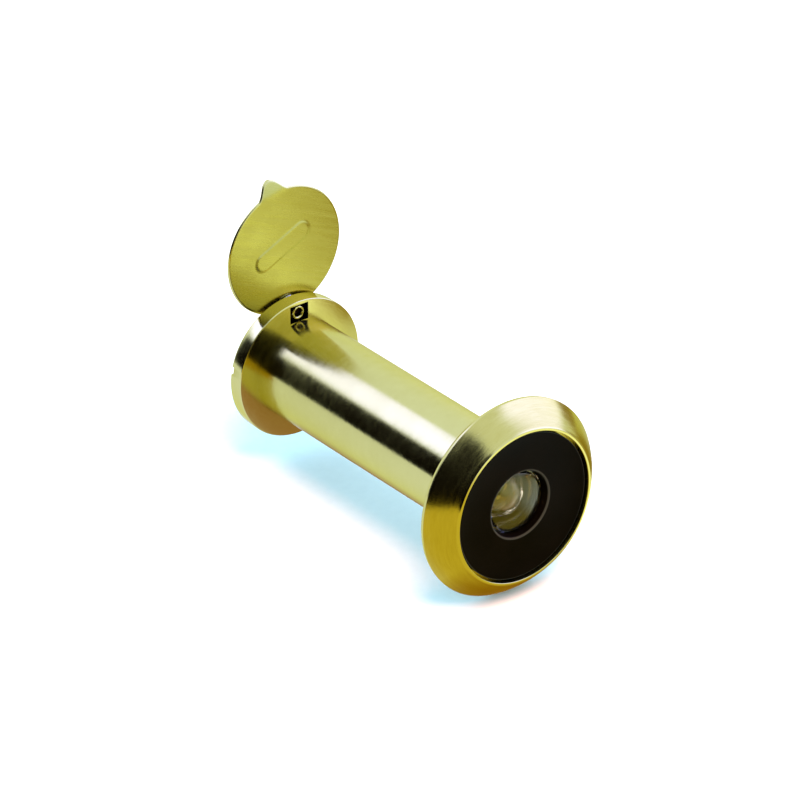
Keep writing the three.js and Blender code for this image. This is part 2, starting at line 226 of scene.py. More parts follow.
def spread(a, b, step):
    """Points on a straight line from a to b, about `step` apart, without the last one."""
    count = max(1, round(hypot(b[0] - a[0], b[1] - a[1]) / step))
    return [(a[0] + (b[0] - a[0]) * i / count, a[1] + (b[1] - a[1]) * i / count) for i in range(count)]


def smooth(low, high, x):
    t = min(1.0, max(0.0, (x - low) / (high - low)))
    return t * t * (3 - 2 * t)


# ---------------------------------------------------------------- meshes


def straight(r, y, angle):
    """Where a row's point goes on a plain turned piece."""
    return r * cos(angle), y, r * sin(angle)


def new_object(name, data):
    """An object in the scene with the given mesh, light or camera."""
    thing = bpy.data.objects.new(name, data)
    bpy.context.scene.collection.objects.link(thing)
    return thing


def band(here, there, around):
    """The faces between two rows of points, where a pole is a row of one point."""
    faces = []
    for i in range(around):
        j = (i + 1) % around
        corners = [here[i % len(here)], there[i % len(there)]]
        corners += [there[j % len(there)], here[j % len(here)]]
        face = list(dict.fromkeys(corners))
        if len(face) > 2:
            faces.append(face)
    return faces


def turned(name, rows, around=AROUND, place=straight, sharp=32, centre=(0, 0)):
    """A closed mesh turned about the Y axis from rows of (radius, y[, edge]), where the edge
    value lightens rounded edges: rubbed brighter on brass, and scuffed with a painted highlight
    on black plastic. Rows at radius 0 become poles. Where the first and last rows are the same,
    the mesh is a ring."""
    ring = tuple(rows[0][:2]) == tuple(rows[-1][:2]) and rows[0][0] > 0
    rows = rows[:-1] if ring else rows
    vertices, wear_and_sheen, levels = [], [], []
    for r, y, *edge_marks in rows:
        count = 1 if r == 0 else around
        levels.append([len(vertices) + i for i in range(count)])
        for i in range(count):
            x, along, z = place(r, y, 2 * pi * i / around)
            vertices.append(((x + centre[0]) * MM, along * MM, (z + centre[1]) * MM))
            wear_and_sheen.append(edge_marks[0] if edge_marks else 0.0)
    pairs = list(zip(levels, levels[1:]))
    if ring:
        pairs.append((levels[-1], levels[0]))
    faces = [face for here, there in pairs for face in band(here, there, around)]
    mesh = bpy.data.meshes.new(name)
    mesh.from_pydata(vertices, [], faces)
    attribute = mesh.attributes.new("wear_and_sheen", "FLOAT", "POINT")
    attribute.data.foreach_set("value", wear_and_sheen)
    piece = new_object(name, mesh)
    finish_mesh(piece, sharp)
    return piece


def finish_mesh(piece, sharp):
    """Faces outwards, with smooth shading up to `sharp` degrees."""
    bm = bmesh.new()
    bm.from_mesh(piece.data)
    bmesh.ops.recalc_face_normals(bm, faces=bm.faces)
    for face in bm.faces:
        face.smooth = True
    bm.to_mesh(piece.data)
    bm.free()
    piece.data.set_sharp_from_angle(angle=radians(sharp))


def block(width, depth, height, place):
    """A box to cut with, in millimetres."""
    bm = bmesh.new()
    bmesh.ops.create_cube(bm, size=1, matrix=place @ Matrix.Diagonal((width, depth, height, 1)))
    bmesh.ops.scale(bm, vec=(MM, MM, MM), verts=bm.verts)
    mesh = bpy.data.meshes.new("block")
    bm.to_mesh(mesh)
    bm.free()
    return new_object("block", mesh)


def cut(piece, cutters, sharp=32):
    """Takes the cutters out of the piece, and removes them."""
    for cutter in cutters:
        modifier = piece.modifiers.new("cut", "BOOLEAN")
        modifier.operation = "DIFFERENCE"
        modifier.solver = "EXACT"
        modifier.object = cutter
    bpy.context.view_layer.update()
    graph = bpy.context.evaluated_depsgraph_get()
    piece.data = bpy.data.meshes.new_from_object(piece.evaluated_get(graph), depsgraph=graph)
    piece.modifiers.clear()
    for cutter in cutters:
        bpy.data.objects.remove(cutter)
    for polygon in piece.data.polygons:
        polygon.use_smooth = True
    piece.data.set_sharp_from_angle(angle=radians(sharp))


# ---------------------------------------------------------------- materials


class Graph:
    """A material's nodes. Each call takes numbers or other nodes' outputs."""

    def __init__(self, name, **shader):
        self.material = bpy.data.materials.new(name)
        self.material.use_nodes = True
        self.tree = self.material.node_tree
        self.shader = self.tree.nodes["Principled BSDF"]
        for key, value in shader.items():
            self.put(self.shader.inputs[key.replace("_", " ")], value)

    def put(self, socket, value):
        if isinstance(value, bpy.types.NodeSocket):
            self.tree.links.new(value, socket)
        else:
            socket.default_value = value

    def add(self, kind, inputs=None, **settings):
        node = self.tree.nodes.new("ShaderNode" + kind)
        for key, value in settings.items():
            setattr(node, key, value)
        for key, value in (inputs or {}).items():
            self.put(node.inputs[key], value)
        return node

    def math(self, operation, a, b=0.0):
        return self.add("Math", {0: a, 1: b}, operation=operation).outputs[0]

    def noise(self, vector, scale=1.0, detail=2.0, roughness=0.5):
        inputs = {"Vector": vector, "Scale": scale, "Detail": detail, "Roughness": roughness}
        return self.add("TexNoise", inputs).outputs["Fac"]

    def between(self, value, low, high, to_low=0.0, to_high=1.0):
        inputs = {0: value, 1: low, 2: high, 3: to_low, 4: to_high}
        return self.add("MapRange", inputs, clamp=True).outputs[0]

    def within(self, value, rise, fall):
        """1 from the end of rise to the start of fall, and 0 outside them, in millimetres."""
        up = self.between(value, rise[0] * MM, rise[1] * MM)
        down = self.between(value, fall[1] * MM, fall[0] * MM)
        return self.math("MULTIPLY", up, down)

    def mix(self, factor, a, b):
        node = self.add("Mix", data_type="RGBA")
        for index, value in ((0, factor), (6, a), (7, b)):
            self.put(node.inputs[index], value)
        return node.outputs[2]

    def split(self, vector):
        return self.add("SeparateXYZ", {0: vector}).outputs

    def vector(self, x, y, z):
        return self.add("CombineXYZ", {0: x, 1: y, 2: z}).outputs[0]

    def place(self):
        return self.add("TexCoord").outputs["Object"]

    def wear_and_sheen(self):
        return self.add("Attribute", attribute_name="wear_and_sheen").outputs["Fac"]

    def bump(self, height, distance, strength, normal=None):
        inputs = {"Height": height, "Distance": distance, "Strength": strength}
        node = self.add("Bump", inputs)
        if normal is not None:
            self.put(node.inputs["Normal"], normal)
        return node.outputs[0]


def colour(r, g, b):
    return (r, g, b, 1.0)


def turning_marks(graph, across, around):
    """Streaks that run round the Y axis: `across` is how many there are per metre along the
    surface, and `around` how often one breaks off round the axis."""
    x, y, z = graph.split(graph.place())
    square = graph.math("ADD", graph.math("MULTIPLY", x, x), graph.math("MULTIPLY", z, z))
    radius = graph.math("MAXIMUM", graph.math("SQRT", square), 1e-5)
    turn = around / (2 * pi)
    cosine = graph.math("MULTIPLY", graph.math("DIVIDE", x, radius), turn)
    sine = graph.math("MULTIPLY", graph.math("DIVIDE", z, radius), turn)
    along = graph.math("MULTIPLY", graph.math("ADD", y, radius), across)
    return graph.noise(graph.vector(cosine, sine, along), detail=3.0, roughness=0.65)


def brushed_marks(graph, direction, across, along):
    """Straight streaks on a sheet in the XZ plane, `direction` degrees from the X axis."""
    turned_place = graph.add("VectorRotate", {"Vector": graph.place(), "Angle": radians(direction)})
    turned_place.rotation_type = "Y_AXIS"
    stretch = graph.add("VectorMath", {0: turned_place.outputs[0], 1: (along, along, across)})
    stretch.operation = "MULTIPLY"
    return graph.noise(stretch.outputs[0], detail=3.0, roughness=0.65)


EDGE_TINT = colour(0.86, 0.8, 0.42)
# Dark brown of the painted shade that darkens the brass in hollows which see little light
PAINTED_SHADE_COLOUR = colour(0.035, 0.014, 0.006)
WORN = colour(0.65, 0.55, 0.15)


def brass(name, base, bright, dark, roughness, marks, grain=0.5, painted_shade_mask=None):
    """Satin brass: `marks` gives its streaks for a graph. Its edges are rubbed brighter, and soft
    clouds of handling vary its colour and gloss. Its last argument gives, for a graph, where
    painted shade darkens it in hollows that see little light."""
    graph = Graph(name, Metallic=1.0, Anisotropic=0.55, Specular_Tint=EDGE_TINT)
    coarse, fine = marks(graph)
    streaks = graph.math("MULTIPLY", coarse, 0.55)
    streaks = graph.math("ADD", streaks, graph.math("MULTIPLY", fine, 0.45))
    clouds = graph.noise(graph.place(), 190.0, 3.0, 0.55)
    specks = graph.noise(graph.place(), 2600.0, 2.0, 0.6)
    wear_and_sheen = graph.wear_and_sheen()

    tone = graph.mix(graph.between(streaks, 0.32, 0.68), dark, bright)
    tone = graph.mix(0.35 + 0.3 * grain, base, tone)
    tone = graph.mix(graph.between(clouds, 0.35, 0.7, 0.0, 0.32), tone, dark)
    tone = graph.mix(graph.math("MULTIPLY", wear_and_sheen, 0.6), tone, WORN)
    # Painted shade: a dark brown mixed in where the mask marks a hollow that sees little light
    if painted_shade_mask:
        tone = graph.mix(painted_shade_mask(graph), tone, PAINTED_SHADE_COLOUR)
    graph.put(graph.shader.inputs["Base Color"], tone)

    gloss = graph.between(streaks, 0.3, 0.7, roughness - 0.05, roughness + 0.07)
    gloss = graph.math("ADD", gloss, graph.between(clouds, 0.3, 0.75, -0.03, 0.04))
    gloss = graph.math("SUBTRACT", gloss, graph.math("MULTIPLY", wear_and_sheen, 0.07))
    graph.put(graph.shader.inputs["Roughness"], gloss)

    relief = graph.bump(streaks, 0.000018, grain)
    graph.put(graph.shader.inputs["Normal"], graph.bump(specks, 0.00001, 0.35, relief))
    return graph


def round_marks(graph):
    return turning_marks(graph, 1500.0, 22.0), turning_marks(graph, 4800.0, 50.0)


def pocket_shade(graph):
    """1 inside the pocket that the sleeve has round its rivet, where painted shade darkens the brass, and 0
    elsewhere.
    """
    half_width = RIVET_POCKET["width"] / 2
    bottom = PIVOT.z - RIVET_POCKET["height"] / 2
    top = PIVOT.z + RIVET_POCKET["height"] / 2
    back = RIVET_POCKET["depth"]
    x, y, z = graph.split(graph.place())
    sideways = graph.within(x, (-half_width - 0.1, -half_width), (half_width, half_width + 0.1))
    inwards = graph.within(y, (0.02, 0.25), (back + 0.2, back + 0.4))
    upwards = graph.within(z, (bottom - 0.15, bottom - 0.02), (top + 0.05, top + 0.2))
    return graph.math("MULTIPLY", graph.math("MULTIPLY", sideways, inwards), upwards)


def shank_shade(graph):
    """1 on the rivet's shank and bore behind its curled end, which sit in the dim pocket and are darkened by
    painted shade, and 0 on its head.
    """
    y = graph.split(graph.place())[1]
    return graph.within(y, (0.3, 0.5), (1.7, 1.9))


def bore_shade(graph):
    """1 in the front body's lens bore, which sees no light but through the lens and is darkened by painted
    shade there.
    """
    x, y, z = graph.split(graph.place())
    radius = graph.add("VectorMath", {0: graph.vector(x, 0.0, z)}, operation="LENGTH").outputs["Value"]
    ahead = graph.between(y, (LENS_SHOULDER + 0.2) * MM, (LENS_SHOULDER - 0.1) * MM)
    near = graph.between(radius, (LENS_BORE_R + 0.3) * MM, (LENS_BORE_R + 0.15) * MM)
    return graph.math("MULTIPLY", ahead, near)


def turned_brass(name, base, bright, dark, roughness, grain=0.5, painted_shade_mask=None):
    graph = brass(name, base, bright, dark, roughness, round_marks, grain, painted_shade_mask)
    tangent = graph.add("Tangent", direction_type="RADIAL", axis="Y")
    graph.put(graph.shader.inputs["Tangent"], tangent.outputs[0])
    graph.shader.inputs["Anisotropic Rotation"].default_value = 0.25
    return graph.material


def sheet_marks(graph):
    return brushed_marks(graph, -24.0, 1500.0, 90.0), brushed_marks(graph, -24.0, 4500.0, 260.0)


PLASTIC_TINT = colour(1.0, 0.85, 0.3)
PLASTIC_TONES = (colour(0.0012, 0.0007, 0.0002), colour(0.0024, 0.0014, 0.0005))
# Lightens the black plastic's rounded edges: partly scuffing, partly a painted highlight along the dish's
# mouth
PLASTIC_SCUFF_AND_SHEEN = colour(0.05, 0.048, 0.032)


def black_plastic():
    graph = Graph("satin_black_plastic", IOR=1.48, Specular_IOR_Level=0.025, Specular_Tint=PLASTIC_TINT)
    rings = turning_marks(graph, 5200.0, 30.0)
    clouds = graph.noise(graph.place(), 260.0, 3.0, 0.5)
    tone = graph.mix(graph.between(clouds, 0.3, 0.7), *PLASTIC_TONES)
    # Scuffing and a painted highlight on the rounded edges
    wear_and_sheen = graph.math("MULTIPLY", graph.wear_and_sheen(), 0.6)
    graph.put(graph.shader.inputs["Base Color"], graph.mix(wear_and_sheen, tone, PLASTIC_SCUFF_AND_SHEEN))
    gloss = graph.between(rings, 0.3, 0.7, 0.36, 0.44)
    gloss = graph.math("ADD", gloss, graph.between(clouds, 0.3, 0.7, -0.03, 0.03))
    graph.put(graph.shader.inputs["Roughness"], gloss)
    graph.put(graph.shader.inputs["Normal"], graph.bump(rings, 0.00001, 0.35))
    return graph.material


GLASS_TINT = colour(0.95, 0.8, 0.2)
GLASS_TONES = (colour(0.98, 0.93, 0.66), colour(0.93, 0.87, 0.57))


def lens_glass():
    """Moulded lens glass, coated so that it reflects little blue, with faint moulding rings."""
    graph = Graph("polished_lens_glass", IOR=1.6, Transmission_Weight=1.0, Specular_Tint=GLASS_TINT)
    dust = graph.noise(graph.place(), 1800.0, 3.0, 0.6)
    smears = graph.noise(graph.place(), 420.0, 2.0, 0.5)
    rings = turning_marks(graph, 1700.0, 1.0)
    tone = graph.mix(graph.between(smears, 0.35, 0.7), *GLASS_TONES)
    graph.put(graph.shader.inputs["Base Color"], tone)
    graph.put(graph.shader.inputs["Roughness"], graph.between(dust, 0.55, 0.8, 0.03, 0.1))
    ripple = graph.bump(rings, 0.00004, 1.0)
    graph.put(graph.shader.inputs["Normal"], graph.bump(smears, 0.000004, 0.2, ripple))
    return graph.material


STEEL_TONES = (colour(0.42, 0.41, 0.39), colour(0.62, 0.61, 0.58))
RUBBER_TONES = (colour(0.014, 0.013, 0.012), colour(0.035, 0.032, 0.03))


def spring_steel():
    graph = Graph("bright_spring_steel", Metallic=1.0, Anisotropic=0.3)
    marks = turning_marks(graph, 6000.0, 40.0)
    tone = graph.mix(graph.between(marks, 0.3, 0.7), *STEEL_TONES)
    graph.put(graph.shader.inputs["Base Color"], tone)
    graph.put(graph.shader.inputs["Roughness"], graph.between(marks, 0.3, 0.7, 0.24, 0.36))
    graph.put(graph.shader.inputs["Normal"], graph.bump(marks, 0.00001, 0.3))
    return graph.material


def gasket_rubber():
    graph = Graph("matte_gasket_rubber", IOR=1.5)
    grain = graph.noise(graph.place(), 4200.0, 3.0, 0.6)
    tone = graph.mix(graph.between(grain, 0.3, 0.7), *RUBBER_TONES)
    graph.put(graph.shader.inputs["Base Color"], tone)
    graph.put(graph.shader.inputs["Roughness"], graph.between(grain, 0.3, 0.7, 0.72, 0.9))
    graph.put(graph.shader.inputs["Normal"], graph.bump(grain, 0.00002, 0.5))
    return graph.material


# Tones are the base, the bright and the dark of a brass
BARREL_TONES = (colour(0.56, 0.47, 0.1), colour(0.61, 0.52, 0.12), colour(0.5, 0.41, 0.075))
# The barrel, rivet and bezel brasses get painted shade in their dim hollows through their masks
BARREL_BRASS = turned_brass("turned_brass_barrel", *BARREL_TONES, 0.2, painted_shade_mask=pocket_shade)
RIVET_BRASS = turned_brass("turned_brass_rivet", *BARREL_TONES, 0.2, painted_shade_mask=shank_shade)
BEZEL_TONES = (colour(0.56, 0.46, 0.09), colour(0.63, 0.52, 0.12), colour(0.48, 0.38, 0.06))
BEZEL_BRASS = turned_brass("turned_brass_bezel", *BEZEL_TONES, 0.2, 0.8, bore_shade)
SHEET_TONES = (colour(0.54, 0.47, 0.075), colour(0.6, 0.53, 0.11), colour(0.47, 0.39, 0.05))
SHEET_BRASS = brass("brushed_sheet_brass", *SHEET_TONES, 0.27, sheet_marks).material
BLACK = black_plastic()
GLASS = lens_glass()
STEEL = spring_steel()
RUBBER = gasket_rubber()


def own(piece, body, node, slot_name, material):
    """Puts a piece on its body in place of its CAD node, with its finish."""
    piece.data.materials.clear()
    piece.data.materials.append(material)
    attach(piece, body)
    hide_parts(node)


# ---------------------------------------------------------------- thread


def tooth(offset, foot, top):
    """How far up its flank a thread stands, from 0 to 1, `offset` along from its middle."""
    return 1 - smooth(top / 2, foot / 2, abs(offset))


def helix_offset(y, start, angle):
    """The distance along Y from a right-handed helix that starts at `start` above the axis."""
    turn = (pi / 2 - angle) / (2 * pi)
    return (y - start - turn * PITCH + PITCH / 2) % PITCH - PITCH / 2


def male_thread(r, y, angle):
    """Raises the front body's thread where the tube is at its root radius, and fades it out at
    both ends."""
    end = MALE["from"] + MALE["turns"] * PITCH
    if r == MALE["root"] and MALE["from"] - PITCH < y < end + PITCH:
        height = tooth(helix_offset(y, MALE["from"], angle), MALE["foot"], MALE["top"])
        fade = smooth(MALE["from"] - 0.6, MALE["from"] + 0.6, y) * (1 - smooth(end - 1.2, end, y))
        r += (MALE["crest"] - MALE["root"]) * height * fade
    return straight(r, y, angle)


def female_thread(r, y, angle):
    """Cuts the sleeve's thread where the bore is at the tap's root radius."""
    if r == TAP["root"]:
        depth = tooth(helix_offset(y, MALE["from"], angle), TAP["foot"], TAP["top"])
        r += (TAP["crest"] - TAP["root"]) * depth
    return straight(r, y, angle)


# ---------------------------------------------------------------- rear sleeve


def rivet_pocket():
    """The square pocket in the flange's door face, to cut."""
    pocket = RIVET_POCKET
    above = Matrix.Translation((0, 0, PIVOT.z))
    return block(pocket["width"], 2 * pocket["depth"], pocket["height"], above)


def rivet_hole(up, back):
    """The rivet's hole to cut, `up` above the axis, from 1 mm before Y = 0 to `back` behind it."""
    return turned("hole", [(0, -1), (RIVET_HOLE_R, -1), (RIVET_HOLE_R, back), (0, back)], 48, centre=(0, up))


def coin_slot(side):
    """The slot across one side of the flange's room face, to cut."""
    face = Matrix.Translation((0, FLANGE_T, 0)) @ Matrix.Rotation(radians(COIN_SLOT["turn"]), 4, "Y")
    reach = Matrix.Translation((side * (FLANGE_R + POCKET_R) / 2, 0, 0))
    length = FLANGE_R - POCKET_R + 2
    return block(length, 2 * COIN_SLOT["depth"], COIN_SLOT["width"], face @ reach)


def rear_sleeve():
    rows = closed([
        (BORE_R, SLEEVE_END + 0.25),
        (BORE_R + 0.1, SLEEVE_END, 0.06),
        (BARREL_R, SLEEVE_END, EDGE),
        (BARREL_R, 0),
        (FLANGE_R, 0, 0.16),
        (FLANGE_R, FLANGE_T, 0.22),
        (POCKET_R + EDGE, FLANGE_T, 0.08),
        (POCKET_R, FLANGE_T - EDGE, 0.05),
        (POCKET_R, POCKET_FLOOR),
        (EYE_APERTURE_R, POCKET_FLOOR, 0.08),
        (EYE_APERTURE_R, BORE_END, 0.08),
        (BORE_R, BORE_END),
        (BORE_R, TAP["end"] + 0.3),
        *spread((TAP["root"], TAP["end"]), (TAP["root"], TAP["mouth"] + 0.3), THREAD_STEP),
        (TAP["root"], TAP["mouth"] + 0.3),
        (BORE_R, TAP["mouth"]),
    ])
    piece = turned("rear_sleeve_brass", rows, place=female_thread)
    cut(piece, [rivet_pocket(), rivet_hole(PIVOT.z, 5), coin_slot(-1), coin_slot(1)])
    own(piece, "sleeve", "rear_sleeve", "turned_brass", BARREL_BRASS)


def retaining_ring():
    top = ring_high.y
    rows = closed([
        (EYE_RING_R, ring_low.y),
        (ring_high.x, ring_low.y),
        (ring_high.x, top, 0.15),
        (EYE_RING_R + 0.5, top, 0.08),
        (EYE_RING_R, top - 0.5, 0.08),
    ])
    piece = turned("retaining_ring_brass", rows, 160)
    face = Matrix.Translation((0, top, 0))
    cut(piece, [block(2 * POCKET_R, 2 * SPANNER_SLOT["depth"], SPANNER_SLOT["width"], face)])
    own(piece, "sleeve", "eyepiece_retaining_ring", "turned_brass", BARREL_BRASS)


def eyepiece():
    front = eye_low.y + EYEPIECE["seat"]
    rear = front + EYEPIECE["thickness"]
    rows = dome(EYE_APERTURE_R - 0.05, front, EYEPIECE["front_rise"])
    rows += bevelled(eye_high.x, front, rear)
    rows += reversed(dome(EYE_RING_R + 0.2, rear, EYEPIECE["rear_rise"]))
    piece = turned("eyepiece_lens_glass", rows, LENS_AROUND)
    own(piece, "sleeve", "eyepiece_lens", "lens_glass", GLASS)


# ---------------------------------------------------------------- cover


def rivet_split(turn):
    """One of the cuts in the rivet's curled end, `turn` degrees round it."""
    tail = Matrix.Translation((0, RIVET_TAIL, PIVOT.z)) @ Matrix.Rotation(radians(turn), 4, "Y")
    size = (RIVET_SPLITS["length"], RIVET_SPLITS["depth"], RIVET_SPLITS["width"])
    return block(*size, tail @ Matrix.Translation((RIVET_SPLITS["out"], 0, 0)))


def rivet():
    """A tubular rivet: a domed head, and a split end that is curled over in front."""
    seat = PIVOT.y + COVER_T + SEAT
    bore = RIVET_R - RIVET_WALL
    depth = RIVET_POCKET["depth"]
    curl = (RIVET_LIP_R - bore) / 2
    head = RIVET_HEAD["radius"]
    rows = [(0, depth + 0.25, 0), (bore - 0.1, depth, 0), (bore, depth - 0.15, 0)]
    rows.append((bore, RIVET_TAIL + curl, 0))
    for i in range(1, 9):
        turn = pi * i / 8
        rows.append((bore + curl - curl * cos(turn), RIVET_TAIL + curl - curl * sin(turn), 1.0))
    rows += [(RIVET_LIP_R - 0.04, RIVET_TAIL + 0.34, 0.5), (RIVET_R, RIVET_TAIL + 0.48, 0)]
    rows += [(RIVET_R, seat, 0), (head, seat, 0)]
    crown = dome(head, seat + RIVET_HEAD["edge"], RIVET_HEAD["rise"])
    rows += [(r, y, 0.2) for r, y in reversed(crown)]
    piece = turned("cover_rivet_brass", rows, AROUND_SMALL, centre=(0, PIVOT.z))
    cut(piece, [rivet_split(turn) for turn in RIVET_SPLITS["turns"]])
    own(piece, "sleeve", "cover_rivet", "turned_brass", RIVET_BRASS)


def lug_reach(angle):
    """The radius of the lug's edge, `angle` radians from its middle, blended into the disc."""
    across = RIVET_UP * sin(angle)
    if cos(angle) < 0 or abs(across) > LUG_R:
        return COVER_R
    edge = RIVET_UP * cos(angle) + sqrt(LUG_R**2 - across**2)
    blend = 0.3
    share = min(1.0, max(0.0, 0.5 + (edge - COVER_R) / (2 * blend)))
    return COVER_R + (edge - COVER_R) * share + blend * share * (1 - share)


def tab_reach(angle):
    """The radius of the tab's edge, `angle` radians from its middle. The edge is a Bezier curve,
    and the search halves the stretch of it that holds the angle."""
    root_y = sqrt(COVER_R**2 - TAB["half_width"] ** 2)
    waist = (root_y + TAB["reach"]) / 2 - 0.4
    ends = [(TAB["half_width"], root_y), (TAB["tip"] + 0.35, waist)]
    ends += [(TAB["tip"], TAB["reach"]), (0, TAB["reach"])]
    if abs(angle) >= atan2(*ends[0]):
        return COVER_R
    low, high = 0.0, 1.0
    for _ in range(24):
        t = (low + high) / 2
        weights = ((1 - t) ** 3, 3 * t * (1 - t) ** 2, 3 * t**2 * (1 - t), t**3)
        x, y = (sum(w * p[k] for w, p in zip(weights, ends)) for k in (0, 1))
        if atan2(x, y) > abs(angle):
            low = t
        else:
            high = t
    return hypot(x, y)


def pill_height(x, z):
    """The raised pill's height at a point of the closed cover, from 0 to 1."""
    turn = radians(PILL["turn"])
    along = x * cos(turn) - z * sin(turn)
    across = x * sin(turn) + z * cos(turn) + PILL["drop"]
    reach = (PILL["length"] - PILL["width"]) / 2
    distance = hypot(max(0, abs(along) - reach), across) - PILL["width"] / 2
    return 1 - smooth(-PILL["edge"], PILL["edge"] * 0.4, distance)


outlines = {}  # the cover's edge radius by angle, worked out once for all the rows


def cover_place(r, y, angle):
    """Shapes the closed cover: its outline with the tab, the tab's curl and the raised pill."""
    from_tab = (angle - radians(-90 - TAB["lean"]) + pi) % (2 * pi) - pi
    if angle not in outlines:
        outlines[angle] = max(tab_reach(from_tab), lug_reach(angle - pi / 2))
    reach = r + (outlines[angle] - COVER_R) * smooth(5.5, COVER_R, r)
    x, z = reach * cos(angle), reach * sin(angle)
    side = abs(reach * sin(from_tab))
    curl = max(0.0, reach * cos(from_tab) - COVER_R + 0.9) / (TAB["reach"] - COVER_R + 0.9)
    lift = TAB["curl"] * curl**2 * (1 - smooth(TAB["tip"], TAB["half_width"] + 1.4, side))
    return x, y + lift - PILL["height"] * pill_height(x, z), z


def cover():
    rim = COVER_T / 2
    radii = [r for r, _ in spread((0, 0), (COVER_R - rim, 0), COVER_STEP)]
    rows = [(r, 0.0, 0.0) for r in radii]
    for i in range(7):
        turn = pi * i / 6
        rows.append((COVER_R - rim + rim * sin(turn), rim - rim * cos(turn), 1.0))
    rows += [(r, COVER_T, 0.0) for r in reversed(radii)]
    piece = turned("cover_sheet_brass", rows, COVER_AROUND, cover_place, sharp=50)
    cut(piece, [rivet_hole(RIVET_UP, 1)], sharp=50)
    from_rivet = Matrix.Translation((0, 0, -RIVET_UP * MM))
    opened = Matrix.Rotation(radians(COVER_OPEN), 4, "Y")
    piece.data.transform(Matrix.Translation(PIVOT * MM) @ opened @ from_rivet)
    own(piece, "cover", "cover", "sheet_brass", SHEET_BRASS)


# ---------------------------------------------------------------- front body


def front_body():
    middle = ((BEZEL_R + LIP["outer"]) / 2 + BULGE, (RIM_FRONT + LIP["y"]) / 2 - BULGE)
    slope = bend((LIP["outer"], LIP["y"] + LIP["edge"]), middle, (BEZEL_R, RIM_FRONT), 18)
    rim = bend((BEZEL_R, RIM_FRONT), (BEZEL_R, BEZEL_BACK), (BEZEL_R - 0.5, BEZEL_BACK), 7)[1:]
    thread_end = MALE["from"] + MALE["turns"] * PITCH
    root = MALE["root"]
    rows = fillet([
        (LENS_BORE_R, DISH_FLOOR + 0.4),
        (LENS_BORE_R, DISH_FLOOR, 0.05),
        (LIP["inner"], DISH_FLOOR),
        (LIP["inner"], LIP["y"], 0.09),
        (LIP["outer"], LIP["y"], 0.09),
        slope[1],
    ])[:-1]
    rows += [(r, y, 0.0) for r, y in slope[1:]]
    rows += [(r, y, 1.0) for r, y in rim]
    rows += fillet([
        rim[-1],
        (RELIEF["radius"], BEZEL_BACK, 0.08),
        (RELIEF["radius"], BEZEL_BACK - RELIEF["depth"]),
        (SHANK_R, BEZEL_BACK - RELIEF["depth"]),
        (SHANK_R, SHANK_END, 0.15),
        (root, SHANK_END + 0.1),
        *spread((root, SHANK_END + 0.15), (root, thread_end), THREAD_STEP),
        (root, thread_end),
        (root, TUBE_END, 0.2),
        (TUBE_BORE_R, TUBE_END, 0.15),
        (TUBE_BORE_R, STACK_SHOULDER, 0.05),
        (STACK_BORE_R, STACK_SHOULDER),
        (STACK_BORE_R, LENS_SHOULDER, 0.05),
        (LENS_BORE_R, LENS_SHOULDER),
        (LENS_BORE_R, DISH_FLOOR + 0.4),
    ])[1:]
    piece = turned("front_body_brass", rows, AROUND, male_thread)
    own(piece, "bezel", "front_body", "turned_brass", BEZEL_BRASS)


def black_dish():
    rim = dish_high.x
    hub = LENS_BORE_R - CLEARANCE
    mouth_r, mouth = DISH["mouthR"], DISH["mouth"]
    face = bend((mouth_r + 0.9, mouth), (8.4, mouth - 0.02), (rim - 0.12, DISH["edge"]), 12)
    rows = fillet([
        (DISH["throatR"], mouth + 0.7),
        (mouth_r - 0.05, mouth + 0.22),
        (mouth_r - 0.02, mouth + 0.1, 0.04),
        (mouth_r + 0.12, mouth, 0.06),
        (mouth_r + 0.25, mouth),
        *face,
        (rim, DISH["edge"] + 0.02, 0.06),
        (rim, DISH_FLOOR - SEAT),
        (hub, DISH_FLOOR - SEAT),
        (hub, DISH["back"]),
        (DISH["throatR"], DISH["back"]),
        (DISH["throatR"], mouth + 0.7),
    ])
    piece = turned("black_dish_plastic", rows)
    own(piece, "bezel", "black_dish", "black_plastic", BLACK)


def lens(name, node, body, nose, rear):
    """A lens of its CAD node's radius and rear edge, with a front face of (radius, y) points
    and a rear face of (radius, rise)."""
    high = extents(node)[1]
    rows = [*nose, *bevelled(high.x, nose[-1][1], high.y)]
    rows += reversed(dome(rear[0], high.y, rear[1]))
    piece = turned(name, rows, LENS_AROUND)
    own(piece, body, node, "lens_glass", GLASS)


def lenses():
    edge = 0.12
    tip, radius, seat = OBJECTIVE["nose"], OBJECTIVE["nose_r"], OBJECTIVE["seat"]
    nose = [*dome(radius - edge, tip, OBJECTIVE["nose_rise"]), (radius, tip + edge), (radius, seat)]
    lens("objective_lens_glass", "objective_lens", "bezel", nose, OBJECTIVE["rear"])
    radius, rise = SECOND_LENS["front"]
    front = dome(radius, extents("second_lens")[0].y, rise)
    lens("second_lens_glass", "second_lens", "lens_stack", front, SECOND_LENS["rear"])
    flat = [(0, extents("third_lens")[0].y)]
    lens("third_lens_glass", "third_lens", "lens_stack", flat, THIRD_LENS_REAR)


def field_stop():
    low, high = extents("field_stop")
    rows = closed([
        (high.x, (low.y + high.y) / 2),
        (high.x, high.y, 0.04),
        (FIELD_STOP["rear_r"], high.y, 0.04),
        (FIELD_STOP["front_r"], low.y, 0.04),
        (high.x, low.y, 0.04),
    ])
    piece = turned("field_stop_plastic", rows, AROUND_SMALL)
    own(piece, "lens_stack", "field_stop", "black_plastic", BLACK)


# ---------------------------------------------------------------- washer, gaskets and spacers


